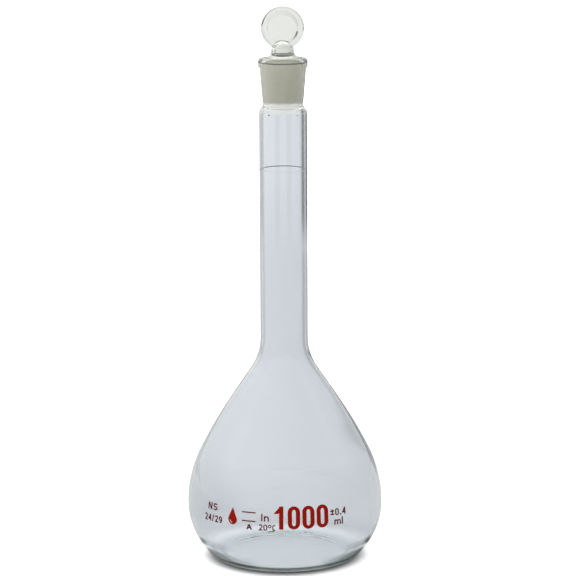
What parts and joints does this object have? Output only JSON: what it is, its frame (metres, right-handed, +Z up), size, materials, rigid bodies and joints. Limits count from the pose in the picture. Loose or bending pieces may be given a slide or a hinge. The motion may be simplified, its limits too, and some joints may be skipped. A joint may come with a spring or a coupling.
{
  "type": "volumetric flask",
  "caption": "Clear glass volumetric flask: pear-shaped bulb on a flat foot, long neck with a fill line, ground-glass mouth and a lift-out disc-topped stopper.",
  "frame": {"origin": "centre of the base, on the bench the flask stands on", "axes": "+Z up the neck to the stopper, -Y towards the reader of the printed side, +X to the reader's right"},
  "size_m": [0.125, 0.1251, 0.3532],
  "materials": {
    "clear_glass": "polished",
    "ground_glass": "ground matt",
    "red_enamel": "fired gloss",
    "brown_enamel": "fired gloss",
    "etched_line": "etched matt"
  },
  "bodies": {
    "flask": {"bulb": "clear_glass", "neck": "clear_glass", "ground_socket": "ground_glass", "ring_mark": "etched_line", "capacity_numerals": "red_enamel", "unit_mark": "brown_enamel", "tolerance_mark": "brown_enamel", "contain_mark": "brown_enamel", "temperature_mark": "brown_enamel", "class_mark": "brown_enamel", "joint_size_mark": "brown_enamel", "droplet_mark": "red_enamel"},
    "stopper": {"stopper_plug": "ground_glass", "stopper_head": "clear_glass"}
  },
  "joints": [
    {"name": "stopper_lift", "type": "slide", "parent": "flask", "child": "stopper", "axis": [0, 0, 1], "range_m": [0, 0.06]}
  ]
}
